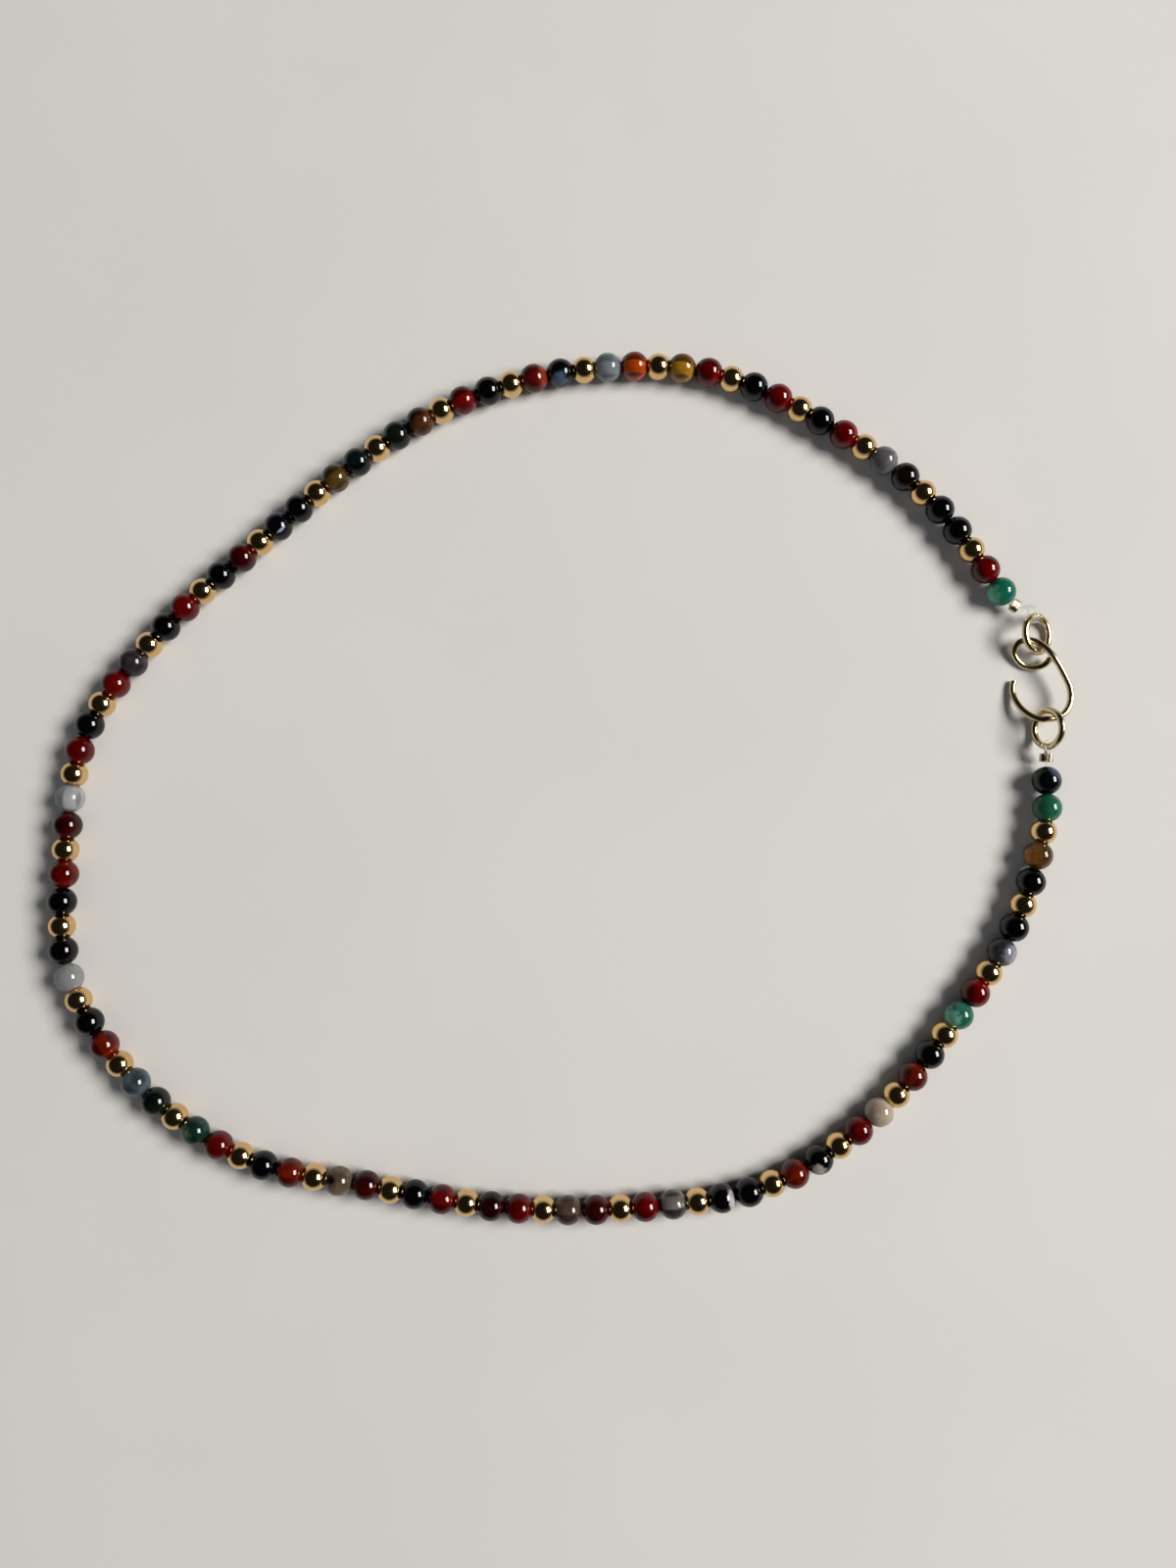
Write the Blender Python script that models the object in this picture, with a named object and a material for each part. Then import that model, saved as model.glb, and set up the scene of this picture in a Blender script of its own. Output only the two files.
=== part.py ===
"""A necklace of round stone beads and gold beads on clear line, closed by a wire hook.

It lies flat, as it does on a table: z = 0 is the surface that it rests on, and the origin is
under the middle of its box. The string leaves the hook at the upper right, goes round
anticlockwise as seen from above, and comes back to the hook from below. Metres, +Z up.
"""

from math import cos, pi, radians, sin, sqrt

import bmesh
import bpy
from mathutils import Vector

for old in list(bpy.data.objects):
    bpy.data.objects.remove(old)

# Beads
STONE_DIAMETER = 0.0040
STONE_FLAT = 0.00120  # across the flat round each end of a stone's hole
GOLD_DIAMETER = 0.00365
GOLD_MOUTH = 0.00180  # across the open rim that the next stone sinks into
GOLD_COUNT = 35  # a pair of stones comes before each gold bead, and one more pair at the end
BEAD_SIDES = 12
MEETING_GAP = 0.00010  # between the two halves of the string

# Clear line, with the loop that each end makes round its jump ring
LINE_DIAMETER = 0.00038
LINE_BORE = 0.00080  # the hole in the last bead at each end
LINE_BORE_DEPTH = 0.00140
LINE_INSIDE = 0.00100  # how far the line is carried into that bead
LINE_PLAY = 0.00010  # round the line in a crimp, and between its loop and the ring
LINE_SIDES = 6
LOOP_WAIST = 0.55  # where the loop's strands draw in, from the ring at 0 to the crimp at 1
LOOP_SQUEEZE = 0.7  # how far apart they are there, as a share of how far at the ring
LOOP_STEPS = 3
UPPER_LINE_SHOWN = 0.00030  # bare line between the crimp and the first bead
LOWER_LINE_SHOWN = 0.00070

# Crimps, each a short tube pressed flat on both strands of the line
CRIMP_WIDTH = 0.00185
CRIMP_THICKNESS = 0.00115
CRIMP_LENGTH = 0.00110
CRIMP_CORNERS = 16

# Jump rings, each tipped about the way it hangs
RING_WIRE = 0.00095
UPPER_RING_DIAMETER = 0.00600
UPPER_RING_TIP = radians(33)
UPPER_RING_PLAY = 0.00040  # between its wire and the hook's
LOWER_RING_DIAMETER = 0.00595
LOWER_RING_TIP = radians(64)
LOWER_RING_PLAY = 0.00025
RING_CUT = 0.00010
CUT_FROM_LINE = radians(28)  # how far round the ring the cut is from the line's loop
RING_STEPS = 28
WIRE_SIDES = 6

# Hook
HOOK_WIRE = 0.00090
HOOK_WIDTH = 0.0083
HOOK_LENGTH = 0.0112
HOOK_TOP = Vector((0.0668, 0.0202))  # the middle of its eye's far edge, seen from above

# How the pieces hang from the hook, as headings anticlockwise from +X
UPPER_RING_HEADING = radians(90)
UPPER_LINE_HEADING = radians(146)
UPPER_LINE_REACH = 0.00285  # from the jump ring's wire to the middle of the crimp
UPPER_LINE_TURN = radians(20)  # how far round the ring the line holds it
LOWER_RING_HEADING = radians(-89)
LOWER_LINE_HEADING = radians(-94)
LOWER_LINE_REACH = 0.00155
LOWER_LINE_TURN = radians(0)

# Hook wire, from the end of its eye to its open tip. Across is a share of HOOK_WIDTH, down is a
# share of HOOK_LENGTH, and lift goes from lying on the surface at 0 to the middle of a ring at 1.
HOOK_BENDS = [
    # across, down, lift, what hangs there
    (0.17, 0.215, 0.56, None),
    (0.13, 0.265, 0.42, None),
    (0.05, 0.310, 0.24, None),
    (-0.08, 0.330, 0.08, None),
    (-0.25, 0.300, 0.00, None),
    (-0.37, 0.225, 0.10, None),
    (-0.43, 0.135, 0.32, None),
    (-0.40, 0.050, 0.60, None),
    (-0.31, 0.005, 0.82, None),
    (-0.18, 0.000, 1.00, None),
    (-0.07, 0.030, 1.16, "upper ring"),
    (0.05, 0.110, 1.36, None),
    (0.15, 0.215, 1.50, None),
    (0.26, 0.350, 1.40, None),
    (0.36, 0.485, 1.24, None),
    (0.43, 0.605, 1.12, None),
    (0.45, 0.715, 1.00, None),
    (0.41, 0.840, 1.00, None),
    (0.32, 0.930, 1.00, None),
    (0.18, 0.985, 1.00, None),
    (0.04, 1.000, 1.00, "lower ring"),
    (-0.06, 1.000, 0.92, None),
    (-0.17, 0.970, 0.80, None),
    (-0.29, 0.900, 0.58, None),
    (-0.39, 0.795, 0.33, None),
    (-0.44, 0.685, 0.12, None),
    (-0.45, 0.590, 0.02, None),
    (-0.42, 0.500, 0.00, None),
]
HOOK_STEPS = 3  # from each bend to the next

# Points that the string lies through, between the two crimps
STRING_ROUTE = [
    (0.0624, 0.0259),
    (0.0510, 0.0410),
    (0.0365, 0.0515),
    (0.0210, 0.0585),
    (0.0035, 0.0590),
    (-0.0140, 0.0545),
    (-0.0290, 0.0455),
    (-0.0425, 0.0340),
    (-0.0555, 0.0220),
    (-0.0660, 0.0075),
    (-0.0685, -0.0095),
    (-0.0678, -0.0258),
    (-0.0583, -0.0405),
    (-0.0428, -0.0510),
    (-0.0250, -0.0548),
    (-0.0070, -0.0576),
    (0.0115, -0.0575),
    (0.0290, -0.0545),
    (0.0435, -0.0450),
    (0.0530, -0.0340),
    (0.0625, -0.0200),
    (0.0675, -0.0035),
    (0.0674, 0.0024),
]
ROUTE_STEPS = 16
ROUTE_SWEEP = (0.2, 4.0)  # limits of how far the route may be widened to take every bead
ROUTE_TRIES = 50

# Bead outlines from one hole to the other: along and out, as shares of the bead's radius
STONE_OUTLINE = [(-0.66, 0.75), (-0.20, 1.00), (0.20, 1.00), (0.66, 0.75)]
GOLD_OUTLINE = [(-0.50, 0.866), (0.00, 1.00), (0.50, 0.866)]

UP = Vector((0, 0, 1))


def material(name, colour, metallic, roughness):
    made = bpy.data.materials.new(name)
    made.use_nodes = True
    shader = made.node_tree.nodes["Principled BSDF"]
    shader.inputs["Base Color"].default_value = (*colour, 1)
    shader.inputs["Metallic"].default_value = metallic
    shader.inputs["Roughness"].default_value = roughness
    return made


AGATE = material("agate", (0.20, 0.03, 0.02), 0, 0.12)
GOLD_WIRE = material("gold_wire", (0.83, 0.68, 0.42), 1, 0.18)
CRIMP_METAL = material("crimp_metal", (0.72, 0.62, 0.45), 1, 0.25)
CLEAR_LINE = material("clear_line", (0.85, 0.86, 0.86), 0, 0.10)


def loft(name, rings, surface, closed=False):
    """One closed body through these rings of points. It is capped at both ends, or runs round."""
    mesh = bmesh.new()
    loops = [[mesh.verts.new(point) for point in ring] for ring in rings]
    pairs = list(zip(loops, loops[1:])) + ([(loops[-1], loops[0])] if closed else [])
    for first, second in pairs:
        for i in range(len(first)):
            j = (i + 1) % len(first)
            mesh.faces.new((first[i], first[j], second[j], second[i]))
    if not closed:
        mesh.faces.new(reversed(loops[0]))
        mesh.faces.new(loops[-1])
    bmesh.ops.recalc_face_normals(mesh, faces=mesh.faces)
    data = bpy.data.meshes.new(name)
    mesh.to_mesh(data)
    mesh.free()
    data.materials.append(surface)
    made = bpy.data.objects.new(name, data)
    bpy.context.scene.collection.objects.link(made)
    return made


def heading(angle):
    return Vector((cos(angle), sin(angle), 0))


def smooth(points, steps):
    """A smooth line through every point, with this many steps from each to the next."""
    before, after = 2 * points[0] - points[1], 2 * points[-1] - points[-2]
    ends = [before, *points, after]
    line = []
    for a, b, c, d in zip(ends, ends[1:], ends[2:], ends[3:]):
        ab, bc, cd = (sqrt((q - p).length) for p, q in ((a, b), (b, c), (c, d)))
        leaving = c - b + bc * ((b - a) / ab - (c - a) / (ab + bc))
        arriving = c - b + bc * ((d - c) / cd - (d - b) / (bc + cd))
        for i in range(steps):
            t = i / steps
            bend = (3 * (c - b) - 2 * leaving - arriving) * t**2
            line.append(b + leaving * t + bend + (leaving + arriving - 2 * (c - b)) * t**3)
    return line + [points[-1]]


def distances(line):
    """How far along the line each of its points is."""
    found = [0.0]
    for a, b in zip(line, line[1:]):
        found.append(found[-1] + (b - a).length)
    return found


def wire(name, line, diameter, sides, surface):
    """A round wire along the line, with its sides carried along so that they never twist."""
    rings = []
    side = UP
    for i, point in enumerate(line):
        along = (line[min(i + 1, len(line) - 1)] - line[max(i - 1, 0)]).normalized()
        side = (side - along * side.dot(along)).normalized()
        across = along.cross(side)
        angles = [2 * pi * j / sides for j in range(sides)]
        rings.append(
            [point + diameter / 2 * (cos(a) * side + sin(a) * across) for a in angles]
        )
    return loft(name, rings, surface)


# Hook and jump rings. Each ring stands tipped on the surface, and the hook's wire goes through
# both at the middle of their height.


def ring_radius(diameter):
    return (diameter - RING_WIRE) / 2


def ring_middle(diameter, tip):
    """The height of a tipped ring's middle when its lower edge rests on the surface."""
    return ring_radius(diameter) * sin(abs(tip)) + RING_WIRE / 2


upper_middle = ring_middle(UPPER_RING_DIAMETER, UPPER_RING_TIP)
lower_middle = ring_middle(LOWER_RING_DIAMETER, LOWER_RING_TIP)

hook_points, seats = [], {}
for across, down, lift, hangs in HOOK_BENDS:
    middle = upper_middle + (lower_middle - upper_middle) * down
    point = Vector(
        (
            HOOK_TOP.x + across * HOOK_WIDTH,
            HOOK_TOP.y - down * HOOK_LENGTH,
            HOOK_WIRE / 2 + lift * (middle - HOOK_WIRE / 2),
        )
    )
    hook_points.append(point)
    if hangs:
        seats[hangs] = point
wire("hook", smooth(hook_points, HOOK_STEPS), HOOK_WIRE, WIRE_SIDES, GOLD_WIRE)


def jump_ring(name, diameter, tip, play, seat, way, middle, turn):
    """A cut ring hung on the hook at seat. Returns the middle of its wire where the line holds
    it, this turn round from its far side, the way out from its middle there, and the direction
    square to its own plane."""
    radius = ring_radius(diameter)
    out, side = heading(way), heading(way + pi / 2)
    across = cos(tip) * side + sin(tip) * UP
    centre = seat + out * (radius - (RING_WIRE + HOOK_WIRE) / 2 - play)
    centre.z = middle
    half_cut = RING_CUT / (2 * radius)
    start = turn - CUT_FROM_LINE + half_cut
    whole = 2 * pi - 2 * half_cut
    angles = [start + whole * i / RING_STEPS for i in range(RING_STEPS + 1)]
    line = [centre + radius * (cos(a) * out + sin(a) * across) for a in angles]
    wire(name, line, RING_WIRE, WIRE_SIDES, GOLD_WIRE)
    held = cos(turn) * out + sin(turn) * across
    return centre + radius * held, held, out.cross(across)


upper_hold = jump_ring(
    "ring_upper", UPPER_RING_DIAMETER, UPPER_RING_TIP, UPPER_RING_PLAY,
    seats["upper ring"], UPPER_RING_HEADING, upper_middle, UPPER_LINE_TURN,
)
lower_hold = jump_ring(
    "ring_lower", LOWER_RING_DIAMETER, LOWER_RING_TIP, LOWER_RING_PLAY,
    seats["lower ring"], LOWER_RING_HEADING, lower_middle, LOWER_LINE_TURN,
)

# Crimps, and the line's loops. The line leaves the last bead, goes through the crimp, round the
# ring's wire and back into the crimp, where its tail ends.

string_height = STONE_DIAMETER / 2


def stadium(centre, across, over, width, thickness):
    """Corners of a flattened round outline."""
    radius = thickness / 2
    shift = width / 2 - radius
    corners = []
    for i in range(CRIMP_CORNERS):
        angle = 2 * pi * (i + 0.5) / CRIMP_CORNERS
        x = radius * cos(angle) + (shift if cos(angle) > 0 else -shift)
        corners.append(centre + x * across + radius * sin(angle) * over)
    return corners


def clasp_end(which, hold, way, reach, shown):
    """One crimp and one loop of line. Returns the point where the string of beads begins."""
    ring_end, ring_out, square = hold
    out, across = heading(way), heading(way + pi / 2)
    crimp = ring_end + out * reach
    crimp.z = string_height
    near, far = crimp - out * CRIMP_LENGTH / 2, crimp + out * CRIMP_LENGTH / 2
    slot = [2 * LINE_DIAMETER + 3 * LINE_PLAY, LINE_DIAMETER + 2 * LINE_PLAY]
    outside = [stadium(f, across, UP, CRIMP_WIDTH, CRIMP_THICKNESS) for f in (near, far)]
    inside = [stadium(f, across, UP, *slot) for f in (far, near)]
    loft(f"crimp_{which}", outside + inside, CRIMP_METAL, closed=True)

    bead = far + out * shown
    strand = across * (LINE_DIAMETER + LINE_PLAY) / 2
    if square.dot(across) < 0:
        square = -square
    round_ring = (RING_WIRE + LINE_DIAMETER) / 2 + LINE_PLAY
    outer = ring_end + ring_out * (near - ring_end).length * LOOP_WAIST
    loop = [
        bead + out * LINE_INSIDE,
        bead,
        far + strand,
        crimp + strand,
        near + strand,
        outer + square * round_ring * LOOP_SQUEEZE,
        ring_end + square * round_ring,
        ring_end + (square - ring_out) * round_ring * sqrt(0.5),
        ring_end - ring_out * round_ring,
        ring_end - (square + ring_out) * round_ring * sqrt(0.5),
        ring_end - square * round_ring,
        outer - square * round_ring * LOOP_SQUEEZE,
        near - strand,
        crimp - strand,
        far - strand,
    ]
    wire(f"line_{which}", smooth(loop, LOOP_STEPS), LINE_DIAMETER, LINE_SIDES, CLEAR_LINE)
    return bead


string_start = clasp_end(
    "upper", upper_hold, UPPER_LINE_HEADING, UPPER_LINE_REACH, UPPER_LINE_SHOWN
)
string_finish = clasp_end(
    "lower", lower_hold, LOWER_LINE_HEADING, LOWER_LINE_REACH, LOWER_LINE_SHOWN
)

# String of beads

kinds = ["stone", "stone", "gold"] * GOLD_COUNT + ["stone", "stone"]
DIAMETERS = {"stone": STONE_DIAMETER, "gold": GOLD_DIAMETER}
OUTLINES = {"stone": STONE_OUTLINE, "gold": GOLD_OUTLINE}


def touching(first, second):
    """The diameter of the circle on which two neighbours meet."""
    if first == second == "stone":
        return STONE_FLAT
    return max(GOLD_MOUTH, STONE_FLAT)


def reach_of(kind, circle):
    """From a bead's middle to the circle on which its neighbour meets it."""
    return sqrt((DIAMETERS[kind] / 2) ** 2 - (circle / 2) ** 2)


circles = [touching(a, b) for a, b in zip(kinds, kinds[1:])]
circles = [STONE_FLAT, *circles, STONE_FLAT]
spans = [
    (reach_of(kind, before), reach_of(kind, after))
    for kind, before, after in zip(kinds, circles, circles[1:])
]
string_length = sum(before + after for before, after in spans)


def laid_route(start, finish, length):
    """The route moved to end on the clasp, its sweep widened or narrowed to the string's length."""
    line = smooth([Vector((x, y, 0)) for x, y in STRING_ROUTE], ROUTE_STEPS)
    along = distances(line)
    shares = [d / along[-1] for d in along]
    sweeps = [p - line[0].lerp(line[-1], s) for p, s in zip(line, shares)]

    def swept(factor):
        return [start.lerp(finish, s) + w * factor for s, w in zip(shares, sweeps)]

    low, high = ROUTE_SWEEP
    for _ in range(ROUTE_TRIES):
        factor = (low + high) / 2
        low, high = (
            (factor, high) if distances(swept(factor))[-1] < length else (low, factor)
        )
    return swept(factor)


route = laid_route(string_start, string_finish, string_length)
route_along = distances(route)


def on_route(distance):
    """The point and the direction of the string at this distance from its start."""
    i = 1
    while i < len(route) - 2 and route_along[i + 1] < distance:
        i += 1
    step = route_along[i + 1] - route_along[i]
    t = (distance - route_along[i]) / step
    before = (route[i + 1] - route[i - 1]).normalized()
    after = (route[min(i + 2, len(route) - 1)] - route[i]).normalized()
    return route[i].lerp(route[i + 1], t), before.lerp(after, t).normalized()


def bead_ring(distance, radius):
    """A ring of corners square to the string, with one flat side straight down."""
    centre, along = on_route(distance)
    side = along.cross(UP).normalized()
    corner = radius / cos(pi / BEAD_SIDES)
    angles = [2 * pi * (j + 0.5) / BEAD_SIDES - pi / 2 for j in range(BEAD_SIDES)]
    return [centre + corner * (cos(a) * side + sin(a) * UP) for a in angles]


def bead_string(name, first, last):
    """The beads from first up to last as one body, drilled where an end of it takes the line."""
    begin = sum(before + after for before, after in spans[:first])
    distance = begin
    outline = []
    for kind, (before, after), circle in zip(
        kinds[first:last], spans[first:last], circles[first + 1 :]
    ):
        middle, radius = distance + before, DIAMETERS[kind] / 2
        outline += [(middle + radius * a, radius * out) for a, out in OUTLINES[kind]]
        distance = middle + after
        outline.append((distance, circle / 2))
    outline.insert(0, (begin, circles[first] / 2))
    if first == 0:
        bore = [(begin + LINE_BORE_DEPTH, LINE_BORE / 2), (begin, LINE_BORE / 2)]
        outline = bore + outline
    else:
        outline[0] = (begin + MEETING_GAP / 2, circles[first] / 2)
    if last == len(kinds):
        outline += [(distance, LINE_BORE / 2), (distance - LINE_BORE_DEPTH, LINE_BORE / 2)]
    else:
        outline[-1] = (distance - MEETING_GAP / 2, circles[last] / 2)
    loft(name, [bead_ring(d, r) for d, r in outline], AGATE)


half = 3 * (GOLD_COUNT // 2) + 1  # between the two stones of the middle pair
bead_string("bead_string_upper", 0, half)
bead_string("bead_string_lower", half, len(kinds))

# Origin under the middle of the whole necklace's box

corners = [v.co for o in bpy.data.objects for v in o.data.vertices]
middle = Vector(
    (
        (min(c.x for c in corners) + max(c.x for c in corners)) / 2,
        (min(c.y for c in corners) + max(c.y for c in corners)) / 2,
        0,
    )
)
for part in bpy.data.objects:
    for vertex in part.data.vertices:
        vertex.co -= middle
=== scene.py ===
"""Looks for the beaded necklace: polished agate and gold beads on clear line, a gold wire hook,
two cut jump rings and two pressed crimps, lying on a plain pale floor.

Lengths are metres. Each bead is turned in its own space with its hole along X, and is then laid
on the string where the CAD model's own bead is.
"""

from math import cos, pi, radians, sin, sqrt

import bpy
from mathutils import Matrix, Vector


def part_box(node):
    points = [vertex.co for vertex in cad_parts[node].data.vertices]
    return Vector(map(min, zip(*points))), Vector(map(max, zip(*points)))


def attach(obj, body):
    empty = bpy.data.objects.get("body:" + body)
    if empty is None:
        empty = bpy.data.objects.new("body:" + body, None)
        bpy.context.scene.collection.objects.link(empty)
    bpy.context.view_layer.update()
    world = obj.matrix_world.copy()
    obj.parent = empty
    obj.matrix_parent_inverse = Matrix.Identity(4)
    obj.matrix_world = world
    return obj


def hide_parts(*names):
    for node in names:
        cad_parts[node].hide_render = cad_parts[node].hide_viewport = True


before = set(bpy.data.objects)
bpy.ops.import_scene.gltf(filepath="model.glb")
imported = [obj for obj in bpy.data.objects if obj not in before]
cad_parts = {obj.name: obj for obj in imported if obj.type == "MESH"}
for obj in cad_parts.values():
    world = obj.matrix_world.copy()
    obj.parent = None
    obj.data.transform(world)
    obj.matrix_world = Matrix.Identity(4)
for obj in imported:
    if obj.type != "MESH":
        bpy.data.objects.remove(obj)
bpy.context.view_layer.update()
UP = Vector((0, 0, 1))
MM = 0.001

# Camera
CAMERA_TARGET = Vector((0.00358, -0.00049, 0.0020))
CAMERA_DISTANCE = 0.170  # from its target
CAMERA_TILT = radians(3)  # off straight down, from the near side
CAMERA_ANGLE = radians(65.4)  # from the top of the picture to the bottom

camera = bpy.data.objects.new("camera", bpy.data.cameras.new("camera"))
bpy.context.scene.collection.objects.link(camera)
camera.location = CAMERA_TARGET + CAMERA_DISTANCE * Vector(
    (0, -sin(CAMERA_TILT), cos(CAMERA_TILT))
)
camera.rotation_euler = (CAMERA_TILT, 0, 0)
camera.data.sensor_fit = "VERTICAL"
camera.data.angle = CAMERA_ANGLE
camera.data.clip_start = 0.01
bpy.context.scene.camera = camera

# Sizes of the pieces. Those that the CAD model has too are the same there.
STONE_DIAMETER = 0.0040
STONE_FLAT = 0.00120  # across the flat round each end of a stone's hole
STONE_HOLE = 0.00085
STONE_LIP = 0.00006  # the rubbed edge round its hole
GOLD_DIAMETER = 0.00365
GOLD_MOUTH = 0.00180  # across the open rim that the next stone sinks into
GOLD_WALL = 0.00016
LINE_DIAMETER = 0.00038
LINE_PLAY = 0.00010  # round the line in a crimp, and between its loop and the ring
LINE_INSIDE = 0.00100  # how far the line is carried into the last bead
LOOP_WAIST = 0.55  # where the loop's strands draw in, from the ring at 0 to the crimp at 1
LOOP_SQUEEZE = 0.7  # how far apart they are there, as a share of how far at the ring
UPPER_LINE_SHOWN = 0.00030  # bare line between the crimp and the first bead
LOWER_LINE_SHOWN = 0.00070
CRIMP_WIDTH = 0.00185
CRIMP_THICKNESS = 0.00115
CRIMP_LENGTH = 0.00110
CRIMP_EDGE = 0.00007  # how far its ends are rounded
CRIMP_DENT = 0.00009
RING_WIRE = 0.00095
UPPER_RING_DIAMETER = 0.00600
UPPER_RING_TIP = radians(33)
UPPER_RING_PLAY = 0.00040  # between its wire and the hook's
LOWER_RING_DIAMETER = 0.00595
LOWER_RING_TIP = radians(64)
LOWER_RING_PLAY = 0.00025
RING_CUT = 0.00010
CUT_FROM_LINE = radians(28)  # how far round the ring the cut is from the line's loop
HOOK_WIRE = 0.00090
HOOK_WIDTH = 0.0083
HOOK_LENGTH = 0.0112
HOOK_TOP = Vector((0.0668, 0.0202))  # the middle of its eye's far edge, seen from above

# How the pieces hang from the hook, as headings anticlockwise from +X
UPPER_RING_HEADING = radians(90)
UPPER_LINE_HEADING = radians(146)
UPPER_LINE_REACH = 0.00285  # from the jump ring's wire to the middle of the crimp
UPPER_LINE_TURN = radians(20)  # how far round the ring the line holds it
LOWER_RING_HEADING = radians(-89)
LOWER_LINE_HEADING = radians(-94)
LOWER_LINE_REACH = 0.00155
LOWER_LINE_TURN = radians(0)

# How finely the meshes are made
BEAD_SIDES = 48
BEAD_STEPS = 30  # along a bead's outside
BEAD_INNER_STEPS = 10
WIRE_SIDES = 32
LINE_SIDES = 20
BEND_STEPS = 10  # from each point of a wire's route to the next
RING_STEPS = 120
END_STEPS = 4  # round the rim of a wire's end
CRIMP_CORNERS = 48
CRIMP_STEPS = 24

# Hook wire, from the end of its eye to its open tip. Across is a share of HOOK_WIDTH, down is a
# share of HOOK_LENGTH, and lift goes from lying on the surface at 0 to the middle of a ring at 1.
HOOK_BENDS = [
    # across, down, lift, what hangs there
    (0.17, 0.215, 0.56, None),
    (0.13, 0.265, 0.42, None),
    (0.05, 0.310, 0.24, None),
    (-0.08, 0.330, 0.08, None),
    (-0.25, 0.300, 0.00, None),
    (-0.37, 0.225, 0.10, None),
    (-0.43, 0.135, 0.32, None),
    (-0.40, 0.050, 0.60, None),
    (-0.31, 0.005, 0.82, None),
    (-0.18, 0.000, 1.00, None),
    (-0.07, 0.030, 1.16, "upper ring"),
    (0.05, 0.110, 1.36, None),
    (0.15, 0.215, 1.50, None),
    (0.26, 0.350, 1.40, None),
    (0.36, 0.485, 1.24, None),
    (0.43, 0.605, 1.12, None),
    (0.45, 0.715, 1.00, None),
    (0.41, 0.840, 1.00, None),
    (0.32, 0.930, 1.00, None),
    (0.18, 0.985, 1.00, None),
    (0.04, 1.000, 1.00, "lower ring"),
    (-0.06, 1.000, 0.92, None),
    (-0.17, 0.970, 0.80, None),
    (-0.29, 0.900, 0.58, None),
    (-0.39, 0.795, 0.33, None),
    (-0.44, 0.685, 0.12, None),
    (-0.45, 0.590, 0.02, None),
    (-0.42, 0.500, 0.00, None),
]

# Stones in order from the upper end of the string. A gold bead comes after each pair but the last.
STONES = """
teal deep_red, black black, brown_black grey_blue, deep_red black, deep_red black,
deep_red olive_amber, carnelian pale_banded, slate_black red_brown, black bright_red,
brown_amber green_black, teal_black olive_grey, black slate_black, dark_red black, red black,
smoky red, black deep_red, pale_blue maroon, red black, black milky, black orange_red,
slate green_black, moss_green red, black orange_red, moss_grey maroon, black bright_red,
dark_maroon red, grey_brown crimson, red grey_violet, black black, orange_red black,
red milky_beige, orange_red black, light_teal deep_red, blue_grey black, black amber,
emerald slate_black
"""
UPPER_STONES = 35  # how many of them the upper half of the CAD string has

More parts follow.
